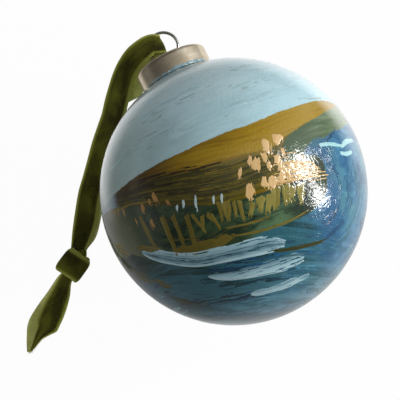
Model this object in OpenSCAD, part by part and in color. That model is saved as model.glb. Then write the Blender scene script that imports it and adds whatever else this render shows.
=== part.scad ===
// Hand-painted glass ball ornament with a sprung cap and a velvet hanging ribbon.
// Row frame: the origin is the centre of the wire eye, +Y runs up the ornament's
// axis from the ball to the eye, +Z points away from the surface it is laid on.

/* [Ball] */
// Diameter over the painted coat
ball_d = 100; // [98:0.5:102]
// Thickness of the paint and varnish coat
paint_t = 0.2; // [0.1:0.05:0.4]
// Thickness of the glass wall
glass_t = 1.1; // [0.8:0.1:1.6]
// Outside diameter of the glass neck
neck_d = 26.4; // [25.6:0.2:26.8]
// Wall of the glass neck
neck_wall = 1.2; // [1:0.1:1.4]

/* [Cap] */
// Outside diameter of the metal cap
cap_d = 28.2; // [28:0.1:29]
// Height of the cap's wall
cap_h = 7.9; // [7.5:0.1:8]
// Sheet thickness of the cap
cap_t = 0.4; // [0.3:0.05:0.5]
// Radius of the cap's rounded top edge
cap_round = 1.6; // [1:0.1:2]
// Distance of the cap's top face from the ball's centre
cap_top = 56.3; // [56.1:0.1:56.5]

/* [Hanger wire] */
// Diameter of the wire
wire_d = 1.2; // [1:0.1:1.3]
// Radius of the eye, to the wire's centre line
eye_r = 5.85; // [5.6:0.05:6]
// Distance of the eye's centre from the ball's centre
eye_h = 62.5; // [62:0.1:63]
// Half the spacing of the two legs where they pass the cap
leg_x = 3.5; // [3:0.1:4]
// Reach of the sprung legs to each side, to the wire's centre line
leg_reach = 10.9; // [9:0.1:11]

/* [Ribbon] */
// Width of the ribbon
ribbon_w = 10; // [9:0.5:11]
// Thickness of the velvet
ribbon_t = 0.8; // [0.6:0.1:0.9]
// Width of the knot across the ribbon
knot_w = 14; // [12:0.5:15]
// Length of the knot along the ribbon
knot_l = 12; // [11:0.5:13]
// Height of the knot above the surface
knot_h = 8; // [6:0.5:9]

/* [Hidden] */
$fn = 96;
ball_r = ball_d / 2;
glass_r = ball_r - paint_t;
neck_r = neck_d / 2;
cap_r = cap_d / 2;
wire_r = wire_d / 2;
floor_z = -ball_r;
seat_gap = 0.1;                              // play between the cap and the neck's lip
neck_top = cap_top - cap_t - seat_gap;       // all three from the ball's centre
neck_fillet = 0.6;
arc_dip = 25;                                // how far the eye's arc runs below its middle
leg_bend = -9.4;                             // where the straight legs start to splay
leg_tip = -23;                               // how deep the legs reach into the ball

// One strip of ribbon is a list of stations: [x, y, z, bearing, width].
// The bearing turns the strip's width about Z, counted from +Y.
upper_run = [
    [-70.4, -50.0, -45.8,  46, 0.55],
    [-67.4, -46.2, -46.6,  48, 0.72],
    [-64.4, -42.2, -47.6,  52, 0.90],
    [-61.2, -37.8, -48.0,  54, 1.00],
    [-57.8, -32.6, -48.0,  53, 1.00],
    [-54.6, -28.4, -47.0,  50, 1.00],
    [-50.8, -24.8, -45.0,  48, 1.00],
    [-46.2, -20.8, -41.0,  46, 1.00],
    [-40.6, -16.2, -35.0,  43, 1.00],
    [-35.4, -12.8, -29.0,  41, 1.00],
    [-31.4,  -9.8, -23.6,  40, 1.00],
    [-27.6,  -6.8, -17.6,  40, 1.00],
    [-23.8,  -4.0, -11.8,  40, 0.92],
    [-20.2,  -1.6,  -6.8,  38, 0.80],
    [-16.2,   0.4,  -2.6,  29, 0.72],
    [-11.6,   1.6,   0.4,  16, 0.68],
    [ -6.2,   1.8,   1.8,   4, 0.70],
    [ -3.4,   1.2,   1.8,   0, 0.70],
    [ -1.6,   0.8,   1.7,   0, 0.70]];
fold_x = -1.5;
fold_r = 1.7;
lower_run = [
    [ -1.6,   0.8,  -1.7,   0, 0.70],
    [ -5.0,   1.0,  -2.2,   4, 0.72],
    [ -9.4,   0.0,  -4.6,  10, 0.80],
    [-13.4,  -2.6,  -8.0,  22, 0.90],
    [-17.4,  -5.4, -12.6,  32, 1.00],
    [-21.4,  -6.8, -17.4,  38, 1.00],
    [-25.6,  -8.0, -22.0,  40, 1.00],
    [-30.0, -10.2, -26.6,  40, 1.00],
    [-34.6, -13.0, -32.2,  41, 1.00],
    [-39.8, -16.6, -38.2,  43, 1.00],
    [-45.4, -21.0, -43.8,  46, 1.00],
    [-50.8, -25.6, -47.2,  48, 1.00],
    [-55.6, -29.8, -48.9,  51, 1.00],
    [-60.6, -37.0, -49.4,  54, 1.00],
    [-64.2, -42.0, -49.3,  52, 0.90],
    [-67.4, -46.2, -48.6,  48, 0.72],
    [-70.4, -50.0, -47.6,  46, 0.55]];
tail_upper = [
    [-76.2, -55.6, -45.4,  44, 0.50],
    [-79.4, -57.6, -46.4,  44, 0.60],
    [-83.4, -61.6, -47.6,  44, 0.80],
    [-88.4, -66.2, -48.1,  44, 0.95],
    [-92.8, -70.2, -48.2,  44, 0.85],
    [-97.4, -73.8, -48.2,  44, 0.55],
    [-101.4, -76.2, -48.4, 44, 0.30],
    [-104.4, -77.2, -48.6, 44, 0.14]];
tail_lower = [
    [-76.2, -55.6, -47.4,  44, 0.50],
    [-80.4, -56.4, -48.4,  44, 0.60],
    [-86.8, -61.0, -49.3,  44, 0.85],
    [-92.6, -65.0, -49.5,  44, 1.00],
    [-97.6, -69.2, -49.5,  44, 0.95],
    [-101.4, -72.8, -49.5, 44, 0.65],
    [-104.2, -75.6, -49.5, 44, 0.35],
    [-105.8, -77.2, -49.5, 44, 0.14]];
knot_at = [-73.3, -53.0];
knot_turn = 46;                              // bearing of the knot's long side

// The half turn that carries the ribbon round the wire inside the eye
fold_run = [for (a = [60, 30, 0, -30, -60])
    [fold_x + fold_r * cos(a), 0.8, fold_r * sin(a), 0, 0.70]];

function unit(v) = v / norm(v);
function spot(run, i) = [run[i][0], run[i][1], run[i][2]];
function heading(run, i) =
    unit(spot(run, min(i + 1, len(run) - 1)) - spot(run, max(i - 1, 0)));
function across(bearing) = [-sin(bearing), cos(bearing), 0];
function ring(run, i) =
    let (c = spot(run, i), w = across(run[i][3]) * ribbon_w * run[i][4] / 2,
         n = unit(cross(heading(run, i), w)) * ribbon_t / 2)
    [c - w - n, c + w - n, c + w + n, c - w + n];

// Sweeps a flat strip through its stations as one closed solid
module strip(run) {
    last = len(run) - 1;
    points = [for (i = [0:last]) each ring(run, i)];
    sides = [for (i = [0:last - 1], k = [0:3])
        [i * 4 + k, i * 4 + (k + 1) % 4, i * 4 + 4 + (k + 1) % 4, i * 4 + 4 + k]];
    halves = [for (f = sides) each [[f[0], f[1], f[2]], [f[0], f[2], f[3]]]];
    caps = [[3, 2, 1], [3, 1, 0],
            [last * 4, last * 4 + 1, last * 4 + 2], [last * 4, last * 4 + 2, last * 4 + 3]];
    polyhedron(points = points, faces = concat(halves, caps), convexity = 6);
}

// Places its children at a height on the ornament's axis, with their +Z along +Y
module on_axis(h) {
    translate([0, h - eye_h, 0]) rotate([-90, 0, 0]) children();
}

// The wire's centre line in the eye's plane: a sprung leg, the eye's arc, the other leg.
// Each corner of a leg is rounded by a curve between the middles of its two runs.
leg_corners = [
    [leg_reach - 0.5, leg_tip],
    [leg_reach, leg_tip + 4.6],
    [leg_x + 0.4, leg_bend - 1.2],
    [leg_x, leg_bend + 2.2],
    [leg_x, -5.2],
    [eye_r * cos(arc_dip) + 0.2 * sin(-arc_dip), -eye_r * sin(arc_dip) - 0.2]];
function mix(a, b, t) = a * (1 - t) + b * t;
function corner(a, b, c, t) = mix(mix((a + b) / 2, b, t), mix(b, (b + c) / 2, t), t);
leg_line = [leg_corners[0],
    for (i = [1:len(leg_corners) - 2], t = [0, 0.25, 0.5, 0.75])
        corner(leg_corners[i - 1], leg_corners[i], leg_corners[i + 1], t)];
eye_line = [for (a = [-arc_dip:10:180 + arc_dip]) eye_r * [cos(a), sin(a)]];
wire_line = concat(leg_line, eye_line,
    [for (i = [len(leg_line) - 1:-1:0]) [-leg_line[i][0], leg_line[i][1]]]);

// Sweeps the round wire along a line that lies flat in the eye's plane
module wire_along(line) {
    sides = 12;
    last = len(line) - 1;
    points = [for (i = [0:last])
        let (t = unit(line[min(i + 1, last)] - line[max(i - 1, 0)]), n = [t[1], -t[0]])
        for (k = [0:sides - 1])
            let (a = 360 * k / sides)
            [line[i][0] + n[0] * wire_r * cos(a), line[i][1] + n[1] * wire_r * cos(a),
             wire_r * sin(a)]];
    walls = [for (i = [0:last - 1], k = [0:sides - 1])
        let (a = i * sides + k, b = i * sides + (k + 1) % sides)
        each [[a, a + sides, b], [b, a + sides, b + sides]]];
    ends = [for (k = [1:sides - 2])
        each [[0, k, k + 1], [last * sides, last * sides + k + 1, last * sides + k]]];
    polyhedron(points = points, faces = concat(walls, ends), convexity = 6);
}

module glass_ball() {
    color("whitesmoke")
    difference() {
        union() {
            on_axis(0) sphere(r = glass_r, $fn = 128);
            on_axis(40) cylinder(r = neck_r, h = neck_top - neck_wall / 2 - 40);
            on_axis(neck_top - neck_wall / 2)
                rotate_extrude() translate([neck_r - neck_wall / 2, 0])
                    circle(r = neck_wall / 2, $fn = 48);
        }
        on_axis(0) sphere(r = glass_r - glass_t, $fn = 128);
        on_axis(40) cylinder(r = neck_r - neck_wall, h = neck_top - 39);
    }
}

module paint_coat() {
    color("lightsteelblue")
    difference() {
        on_axis(0) sphere(r = ball_r, $fn = 128);
        on_axis(0) sphere(r = glass_r, $fn = 128);
        on_axis(40) cylinder(r = neck_r + neck_fillet, h = 20);
    }
}

// The cap's outside or inside form: a cylinder with a rounded top edge
module cap_form(r, low, high, edge) {
    on_axis(low) cylinder(r = r, h = high - low - edge);
    on_axis(low) cylinder(r = r - edge, h = high - low);
    on_axis(high - edge) rotate_extrude() translate([r - edge, 0]) circle(r = edge, $fn = 48);
}

module cap() {
    color("tan")
    difference() {
        cap_form(cap_r, cap_top - cap_h, cap_top, cap_round);
        cap_form(cap_r - cap_t, cap_top - cap_h - 1, cap_top - cap_t, cap_round - cap_t);
        for (side = [-1, 1])
            translate([side * leg_x, 0, 0])
                on_axis(cap_top - 2) cylinder(r = wire_r + 0.3, h = 4, $fn = 48);
    }
}

module hanger_wire() {
    color("silver") wire_along(wire_line);
}

module ribbon_loop() {
    color("darkolivegreen") strip(concat(upper_run, fold_run, lower_run));
}

module ribbon_knot() {
    low = floor_z + 0.2;
    color("olivedrab")
    translate([knot_at[0], knot_at[1], low])
        rotate([0, 0, knot_turn])
            hull() {
                for (x = [-1, 1], y = [-1, 1], z = [0, 1])
                    translate([x * (knot_l / 2 - 2.2), y * (knot_w / 2 - 2.2 - z * 0.8),
                               2.2 + z * (knot_h - 4.4)])
                        sphere(r = 2.2, $fn = 24);
            }
}

module ribbon_tail_upper() {
    color("darkolivegreen") strip(tail_upper);
}

module ribbon_tail_lower() {
    color("yellowgreen") strip(tail_lower);
}

glass_ball();
paint_coat();
cap();
hanger_wire();
ribbon_loop();
ribbon_knot();
ribbon_tail_upper();
ribbon_tail_lower();
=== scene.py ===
"""Looks for a hand-painted glass ball ornament, laid on its side with its velvet ribbon.

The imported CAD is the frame: the origin is the centre of the wire eye, +Y is the
ornament's axis from the ball to the eye, and +Z points up from the surface.
The painting is laid on the ball in degrees: lon runs round the axis from the top
(+Z) towards +X, and lat runs from the ball's waist towards the cap.
"""

import math

import bpy
import numpy as np
from mathutils import Matrix, Vector


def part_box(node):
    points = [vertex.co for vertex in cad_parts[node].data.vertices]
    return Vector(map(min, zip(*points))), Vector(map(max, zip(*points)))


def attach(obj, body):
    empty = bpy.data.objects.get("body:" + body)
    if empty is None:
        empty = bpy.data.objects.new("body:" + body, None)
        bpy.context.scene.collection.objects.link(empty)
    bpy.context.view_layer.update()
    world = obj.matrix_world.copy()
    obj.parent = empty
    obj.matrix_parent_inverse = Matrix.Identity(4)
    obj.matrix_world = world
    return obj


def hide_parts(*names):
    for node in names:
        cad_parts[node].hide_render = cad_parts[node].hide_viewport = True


MM = 0.001

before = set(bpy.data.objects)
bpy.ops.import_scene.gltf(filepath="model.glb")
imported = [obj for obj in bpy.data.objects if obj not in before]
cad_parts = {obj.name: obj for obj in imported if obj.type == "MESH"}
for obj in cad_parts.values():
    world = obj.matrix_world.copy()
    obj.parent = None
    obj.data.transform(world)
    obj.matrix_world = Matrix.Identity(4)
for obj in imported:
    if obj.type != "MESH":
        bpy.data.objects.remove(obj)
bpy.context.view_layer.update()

# ---------------------------------------------------------------- the frame's places
coat_low, coat_high = (np.array(c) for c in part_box("paint_coat"))
cap_low, cap_high = (np.array(c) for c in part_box("cap"))
R = (coat_high[0] - coat_low[0]) / 2
CENTRE = np.array([0, coat_low[1] + R, 0])
FLOOR_Z = -R
SLIVER = 0.00005  # a gap in metres that is too small to see
VARNISH_DEPTH = 0.00035  # metres of relief, from the brushed paint's grooves to the top of the varnish
CAP_R = (cap_high[0] - cap_low[0]) / 2


# ---------------------------------------------------------------- camera
LENS = 107.9  # mm
DISTANCE = 0.45  # metres from the camera to the ball's centre
LEAN = math.radians(9.7)  # how far the camera leans back from straight above
ROLL = math.radians(26)  # how far the ornament's axis leans left in the frame
TURN_LEFT, TURN_DOWN = math.radians(1.59), math.radians(0.406)  # the ball sits right of middle


def make_camera():
    data = bpy.data.cameras.new("camera")
    data.lens, data.sensor_width = LENS, 36
    data.clip_start, data.clip_end = 0.01, 20
    ahead = Vector((0, math.sin(LEAN), -math.cos(LEAN)))
    side = Vector((1, 0, 0))
    up = side.cross(ahead)
    basis = Matrix((side, up, -ahead)).transposed()
    turn = (
        Matrix.Rotation(-ROLL, 3, "Z")
        @ Matrix.Rotation(TURN_LEFT, 3, "Y")
        @ Matrix.Rotation(-TURN_DOWN, 3, "X")
    )
    camera = bpy.data.objects.new("camera", data)
    camera.rotation_mode = "QUATERNION"
    camera.location = Vector(CENTRE) - ahead * DISTANCE
    camera.rotation_quaternion = (basis @ turn).to_quaternion()
    bpy.context.collection.objects.link(camera)
    bpy.context.scene.camera = camera


# ---------------------------------------------------------------- helpers for materials
def srgb(r, g, b):
    """A colour given as 0 to 255 screen values, as linear light."""
    return [((c / 255 + 0.055) / 1.055) ** 2.4 if c > 10 else c / 255 / 12.92 for c in (r, g, b)] + [1]


class Value:
    """A node's output. Arithmetic on it adds the Math nodes that work it out."""

    def __init__(self, nodes, socket):
        self.nodes, self.socket = nodes, socket

    def __add__(self, other):
        return self.nodes.math("ADD", self, other)

    def __sub__(self, other):
        return self.nodes.math("SUBTRACT", self, other)

    def __rsub__(self, other):
        return self.nodes.math("SUBTRACT", other, self)

    def __mul__(self, other):
        return self.nodes.math("MULTIPLY", self, other)

    def __truediv__(self, other):
        return self.nodes.math("DIVIDE", self, other)

    def __abs__(self):
        return self.nodes.math("ABSOLUTE", self)


class Nodes:
    """Builds the node tree of a material, or of the world, with short calls."""

    def __init__(self, name, world=False):
        self.owner = (bpy.data.worlds if world else bpy.data.materials).new(name)
        self.owner.use_nodes = True
        self.tree = self.owner.node_tree
        self.shader = self.tree.nodes["Background" if world else "Principled BSDF"]
        self.count = 0

    def add(self, kind, *fed, **settings):
        """A new node, with its settings made and its first inputs fed."""
        node = self.tree.nodes.new("ShaderNode" + kind)
        self.count += 1
        node.location = (-200 * (self.count % 9) - 200, -260 * (self.count // 9))
        for key, value in settings.items():
            setattr(node, key, value)
        for socket, value in zip(node.inputs, fed):
            self.feed(socket, value)
        return node

    def feed(self, socket, value):
        """Links a node's output to a socket, or sets the socket to a plain number or colour."""
        if isinstance(value, Value):
            self.tree.links.new(value.socket, socket)
        else:
            socket.default_value = value

    def out(self, node, key=0):
        return Value(self, node.outputs[key])

    def math(self, operation, *values):
        return self.out(self.add("Math", *values, operation=operation))

    def vector(self, operation, *values):
        return self.out(self.add("VectorMath", *values, operation=operation))

    def split(self, vector):
        return [Value(self, socket) for socket in self.add("SeparateXYZ", vector).outputs]

    def combine(self, *values):
        return self.out(self.add("CombineXYZ", *values))

    def place(self):
        """Object coordinates, which are the row frame's."""
        return self.out(self.add("TexCoord"), "Object")

    def marks(self, *names):
        """The numbers that a mesh carries at its points, such as how far along its stroke each one is."""
        return [self.out(self.add("Attribute", attribute_name=name), "Fac") for name in names]

    def mapped(self, where, key, values):
        node = self.add("Mapping", where)
        node.inputs[key].default_value = values
        return self.out(node)

    def noise(self, where, scale, detail=3.0, rough=0.5, warp=0.0):
        """scale is one number, or one for each axis."""
        if isinstance(scale, tuple):
            where, scale = self.mapped(where, "Scale", scale), 1.0
        node = self.add("TexNoise", where)
        for key, value in (("Scale", scale), ("Detail", detail), ("Roughness", rough), ("Distortion", warp)):
            node.inputs[key].default_value = value
        return self.out(node)

    def step(self, value, low, high, to_low=0.0, to_high=1.0):
        """value between low and high, mapped smoothly to to_low and to_high."""
        spans = (low, high, to_low, to_high)
        return self.out(self.add("MapRange", value, *spans, interpolation_type="SMOOTHSTEP"))

    def mix(self, share, a, b):
        """The colour a, with a share of the colour b."""
        node = self.add("Mix", share, data_type="RGBA")
        self.feed(node.inputs[6], a)
        self.feed(node.inputs[7], b)
        return self.out(node, 2)

    def over(self, ground, colour, where, low, high, most=1.0):
        """A colour laid over a ground, from none where `where` is low to `most` of it where it is high."""
        return self.mix(self.step(where, low, high, 0.0, most), ground, colour)

    def ramp(self, value, stops):
        """The colour at value between stops of (place, colour)."""
        node = self.add("ValToRGB", value)
        spots = node.color_ramp.elements
        spots[0].position, spots[0].color = stops[0]
        spots[1].position, spots[1].color = stops[-1]
        for at, colour in stops[1:-1]:
            spots.new(at).color = colour
        return self.out(node)

    def edge(self, lon, points):
        """The lat of one of the painting's edges at a lon, on a smooth curve through its points."""
        node = self.add("FloatCurve")
        line = node.mapping.curves[0]
        spots = [((x + 180) / 360, (y + 90) / 180) for x, y in points]
        line.points[0].location, line.points[1].location = spots[0], spots[-1]
        for spot in spots[1:-1]:
            line.points.new(*spot)
        node.mapping.update()
        self.feed(node.inputs["Value"], (lon + 180) / 360)
        return self.out(node) * 180 - 90

    def bump(self, height, strength, distance, coat=False):
        """Relief on the surface, and with coat on the clear coat over it too."""
        node = self.add("Bump")
        for key, value in (("Height", height), ("Strength", strength), ("Distance", distance)):
            self.feed(node.inputs[key], value)
        for key in ("Normal", "Coat Normal") if coat else ("Normal",):
            self.feed(self.shader.inputs[key], self.out(node))

    def set(self, **sockets):
        for key, value in sockets.items():
            self.feed(self.shader.inputs[key.replace("_", " ")], value)
        return self.owner


def from_centre(n):
    """The unit vector from the ball's centre."""
    return n.vector("MULTIPLY", n.vector("SUBTRACT", n.place(), tuple(CENTRE)), (1 / R, 1 / R, 1 / R))


def lon_lat(n):
    """The painting's own coordinates: lon and lat in degrees, and the unit vector from the centre."""
    unit = from_centre(n)
    x, y, z = n.split(unit)
    degrees = 180 / math.pi
    lat = n.math("ARCSINE", n.math("MINIMUM", n.math("MAXIMUM", y, -1.0), 1.0)) * degrees
    return n.math("ARCTAN2", x, z) * degrees, lat, unit


def varnished(n, colour, lon, unit, *streaks):
    """Brushed paint under a gloss varnish. The relief is the brush's streaks, and curling ripples that break up
    a reflection and are deepest on the right, where the varnish went on thickest."""
    curls = n.math("SINE", n.noise(unit, 7, 2, 0.5, 0.8) * (2 * math.pi * 9))
    thick = n.step(abs(lon - 34), 40, 16, 0.1, 0.42)
    relief = (curls * 0.5 + 0.5) * thick + n.noise(unit, 64, 2, 0.6, 1.0) * 0.55
    for streak in streaks:
        relief = relief + streak * 0.3
    n.bump(relief, 0.2, VARNISH_DEPTH, coat=True)
    return n.set(Base_Color=colour, Roughness=0.42, Specular_IOR_Level=0.15,
                 Coat_Weight=1.0, Coat_Roughness=0.03, Coat_IOR=1.6)


# ---------------------------------------------------------------- the painting: its colours
SKY, SKY_DARK, SKY_GREY = srgb(180, 212, 220), srgb(162, 198, 208), srgb(140, 158, 150)
SKY_MARK, SKY_PALE = srgb(124, 150, 158), srgb(206, 228, 232)
OCHRE, OCHRE_DARK = srgb(154, 124, 18), srgb(126, 96, 6)
OLIVE, OLIVE_DARK = srgb(92, 82, 12), srgb(56, 56, 14)
UMBER, BROWN, SLATE = srgb(44, 34, 8), srgb(74, 52, 10), srgb(122, 142, 152)
SAGE, SAGE_DARK = srgb(128, 144, 114), srgb(54, 77, 46)
MARSH, MARSH_DARK = srgb(56, 76, 48), srgb(28, 46, 34)
MARSH_PALE, MARSH_MIST = srgb(86, 116, 84), srgb(104, 108, 82)
BLUE, BLUE_DARK, BLUE_PALE = srgb(66, 124, 152), srgb(34, 88, 126), srgb(108, 158, 176)
NAVY, NAVY_GREY, SEA_GREEN = srgb(34, 70, 112), srgb(28, 52, 76), srgb(96, 150, 146)
TEAL, TEAL_DARK, TEAL_PALE = srgb(44, 92, 104), srgb(24, 56, 56), srgb(96, 150, 168)

# ---------------------------------------------------------------- the painting: its bands
# Where one field of colour ends and the next begins, as (lon, lat) in degrees
HILL_TOP = [
    (-180, 9), (-130, 13), (-95, 10), (-65, 14), (-30, 14.5), (0, 13), (23, 12), (46, 13), (70, 13),
    (95, 8), (130, 12), (180, 9)]
HILL_FOOT = [
    (-180, -8), (-130, -4), (-90, 8), (-62, 11), (-47, 7), (-27, -2), (-9, -11), (2, -14), (20, -14),
    (27, -9), (38, -6), (51, -3), (61, -1), (78, 2), (105, -3), (140, -12), (180, -8)]
SAGE_TOP = [
    (-180, -20), (-120, -20), (0, -20), (20, -18), (24, -8), (27, 0), (39, 4), (50, 6), (63, 9),
    (85, 12), (120, 6), (150, -10), (180, -20)]
WATER_TOP = [
    (-180, -20), (-110, -10), (-65, -8), (-50, -15), (-25, -27), (0, -29), (30, -29), (38, -25),
    (41.5, -16), (43, -3), (61, 0), (80, 3), (108, -8), (150, -20), (180, -20)]


def painted_ground():
    """The fields of the painting: sky, hill, marsh and water."""
    n = Nodes("painted_ground")
    lon, lat, unit = lon_lat(n)
    radians = lon * (math.pi / 180)
    east, front = n.math("SINE", radians), n.math("COSINE", radians)

    # Brush streaks run round the axis in the sky, and level with the table's edge in the water
    level = n.mapped(unit, "Rotation", (0, 0, ROLL))
    streak = n.noise(unit, (3, 26, 3), 5, 0.62, 0.6)
    fine = n.noise(unit, (7, 90, 7), 3, 0.6, 0.2)
    wash = n.noise(level, (1.6, 13, 1.6), 5, 0.62, 0.5)
    hairs = n.noise(level, (6, 70, 6), 3, 0.6, 0.3)
    swirl = n.noise(unit, (2.6, 4, 2.6), 5, 0.68, 2.2)
    cloud = n.noise(unit, 2.6, 3, 0.55)
    waver = (cloud - 0.5) * 2.2 + (n.noise(unit, 30, 2, 0.5) - 0.5) * 0.8
    edge_lat = lat + waver

    def above(line, soft):
        return n.step(edge_lat - line, -soft, soft)

    crest, foot = n.edge(lon, HILL_TOP), n.edge(lon, HILL_FOOT)
    in_sky, in_hill = above(crest, 0.25), above(foot, 0.3)
    in_gold = above(n.edge(lon, SAGE_TOP), 0.4)
    over_water = above(n.edge(lon + waver * 0.9, WATER_TOP), 0.6)

    # Water: blue swept round the marsh's right end, and under it on the left dark teal, navy and a dark bank
    blue = n.over(BLUE_DARK, BLUE, swirl, 0.36, 0.64)
    blue = n.over(blue, BLUE_PALE, wash, 0.5, 0.7, 0.3)
    blue = n.over(blue, SEA_GREEN, cloud, 0.52, 0.66, 0.4)
    near_marsh = n.step(abs(lon - 40), 12, 2, 0, 0.75)
    blue = n.mix(near_marsh * n.step(swirl, 0.3, 0.6), blue, NAVY)
    deep = n.over(TEAL_DARK, TEAL, wash, 0.36, 0.5)
    deep = n.over(deep, NAVY_GREY, wash, 0.54, 0.62, 0.9)
    deep = n.over(deep, n.over(TEAL, TEAL_PALE, wash, 0.4, 0.6), lat, -44, -62, 0.75)
    bank = n.step(east, -0.5, -0.78) * n.step(lat, -26, -17, 0, 0.75)
    deep = n.mix(bank, deep, n.over(MARSH_DARK, OLIVE_DARK, wash, 0.4, 0.6))
    water = n.over(blue, deep, n.split(unit)[0] + (swirl - 0.5) * 0.3, 0.52, 0.26)
    water = n.over(water, BLUE_PALE, hairs, 0.56, 0.7, 0.16)

    # Marsh: dark green with olive worked into it, lighter in the middle and misty at its left end
    marsh = n.over(MARSH_DARK, MARSH, swirl, 0.38, 0.66)
    marsh = n.over(marsh, OLIVE, fine, 0.55, 0.68, 0.55)
    lit = n.step(abs(lon - 9), 14, 4) * n.step(lat, -14, -19)
    marsh = n.mix(lit * n.step(swirl, 0.36, 0.58, 0, 0.75), marsh, MARSH_PALE)
    marsh = n.over(marsh, MARSH_MIST, east + (swirl - 0.5) * 0.25, -0.66, -0.86, 0.85)

    # Hill: clean ochre along its crest; below it, dark streaks that fan out from its left end, which is slate
    depth = (crest - edge_lat) / n.math("MAXIMUM", crest - foot, 2.0)
    fan = depth - east * 0.36 * (1.0 - depth)
    rows = n.combine(east * 1.5, fan * 9.0, front * 1.5)
    furrow = n.noise(rows, 1.0, 6, 0.68, 0.25)
    broad = n.noise(rows, (0.9, 0.45, 1), 2, 0.5, 0.3)
    ochre = n.over(OCHRE_DARK, OCHRE, furrow + east * 0.17, 0.36, 0.6)
    furrowed = n.ramp(furrow + (broad - 0.5) * 0.7, [
        (0.3, UMBER), (0.44, OLIVE_DARK), (0.58, OLIVE), (0.72, OCHRE_DARK), (0.88, OCHRE)])
    hill = n.over(ochre, furrowed, fan + (furrow - 0.5) * 0.45, 0.36, 0.46)
    hill = n.over(hill, n.over(UMBER, BROWN, furrow, 0.4, 0.6), east, -0.04, -0.66, 0.9)
    hill = n.over(hill, SLATE, east + (furrow - 0.5) * 0.1, -0.77, -0.82)
    sage = n.over(SAGE_DARK, SAGE, streak * 0.25 + east * 0.43, 0.36, 0.6)
    hill = n.mix(in_gold, sage, hill)

    # Sky: dusty blue, brushed thin, with grey-green showing through and short dark marks, and on its left, away
    # from the lamps, painted shade and a painted grey-green reflection
    sky = n.over(SKY_DARK, SKY, streak, 0.25, 0.75)
    sky = n.over(sky, SKY_GREY, cloud, 0.46, 0.7, 0.4)
    sky = n.mix(n.step(fine, 0.6, 0.7) * n.step(swirl, 0.48, 0.6) * 0.4, sky, SKY_MARK)
    sky = n.over(sky, SKY_PALE, fine, 0.44, 0.34, 0.2)
    # Painted shade and painted reflection: grey-green laid over the sky's left side, away from the lamps
    sky = n.over(sky, SKY_GREY, east, -0.1, -0.85, 0.75)
    sky = n.over(sky, SKY_PALE, lat, 24, 50, 0.5)
    sky = n.over(sky, SKY_DARK, east, 0.25, 0.9, 0.7)

    colour = n.mix(over_water, water, marsh)
    colour = n.mix(in_hill, colour, hill)
    colour = n.mix(in_sky, colour, sky)
    return varnished(n, colour, lon, unit, fine, hairs)


# ---------------------------------------------------------------- helpers for meshes
def unit_rows(v):
    return v / np.linalg.norm(v, axis=1)[:, None]


def distances(points):
    """How far along a line of points each one is."""
    return np.concatenate([[0], np.cumsum(np.linalg.norm(np.diff(points, axis=0), axis=1))])


def on_ball(lon, lat):
    """Unit vectors from the ball's centre."""
    lon, lat = np.radians(lon), np.radians(lat)
    return np.stack([np.cos(lat) * np.sin(lon), np.sin(lat), np.cos(lat) * np.cos(lon)], -1)


def wide_at(lat):
    """How many degrees of lon make one degree of arc at a lat."""
    return 1 / math.cos(math.radians(lat))


def smooth_line(points, count):
    """A smooth line through points, resampled to count points evenly by their order."""
    p = np.array(points, float)
    if len(p) == 2:
        return p[0] + (p[1] - p[0]) * np.linspace(0, 1, count)[:, None]
    q = np.vstack([2 * p[0] - p[1], p, 2 * p[-1] - p[-2]])
    at = np.linspace(0, len(p) - 1, count)
    i = np.minimum(at.astype(int), len(p) - 2)
    t = (at - i)[:, None]
    a, b, c, d = q[i], q[i + 1], q[i + 2], q[i + 3]
    return 0.5 * (2 * b + (c - a) * t + (2 * a - 5 * b + 4 * c - d) * t**2 + (3 * b - a - 3 * c + d) * t**3)


def line_at(line, lon):
    """The lat of one of the painting's edges at a lon."""
    return float(np.interp(lon, [p[0] for p in line], [p[1] for p in line]))


def grid(rows, columns, base=0, ring=False, closed=False):
    """Faces between rows of points. ring joins each row's two ends; closed joins the last row to the first."""
    faces = []
    for i in range(rows if closed else rows - 1):
        for j in range(columns if ring else columns - 1):
            k, a, b = (j + 1) % columns, base + i * columns, base + (i + 1) % rows * columns
            faces.append((a + j, a + k, b + k, b + j))
    return faces


def mesh_piece(name, points, faces, materials, kinds=None, marks=()):
    """A smooth mesh. kinds has each face's material, and marks the numbers that its points carry, by name."""
    mesh = bpy.data.meshes.new(name)
    mesh.from_pydata([tuple(p) for p in points], [], [tuple(f) for f in faces])
    for material in materials:
        mesh.materials.append(material)
    if kinds is not None:
        mesh.polygons.foreach_set("material_index", np.array(kinds, np.int32))
    mesh.polygons.foreach_set("use_smooth", np.ones(len(mesh.polygons), bool))
    mesh.update()
    for key, values in marks:
        layer = mesh.attributes.new(key, "FLOAT", "POINT")
        layer.data.foreach_set("value", np.array(values, np.float32))
    piece = bpy.data.objects.new(name, mesh)
    bpy.context.collection.objects.link(piece)
    return piece


MOUTH = 13.8  # radius in mm of the coat's opening round the neck


def painted_ball():
    """The coat as a smooth skin: rings round the axis, open where the neck comes out."""
    turns, rings = 240, 150
    mouth = math.degrees(math.asin(MOUTH * MM / R))
    lats = np.linspace(-90, 90 - mouth, rings + 1)[1:]
    lat, lon = np.meshgrid(lats, np.arange(turns) * 360 / turns, indexing="ij")
    points = np.vstack([on_ball(lon, lat).reshape(-1, 3), [[0, -1, 0]]]) * R + CENTRE
    pole = len(points) - 1
    faces = grid(rings, turns, ring=True) + [((j + 1) % turns, j, pole) for j in range(turns)]
    return mesh_piece("painted_skin", points, faces, [painted_ground()])


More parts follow.
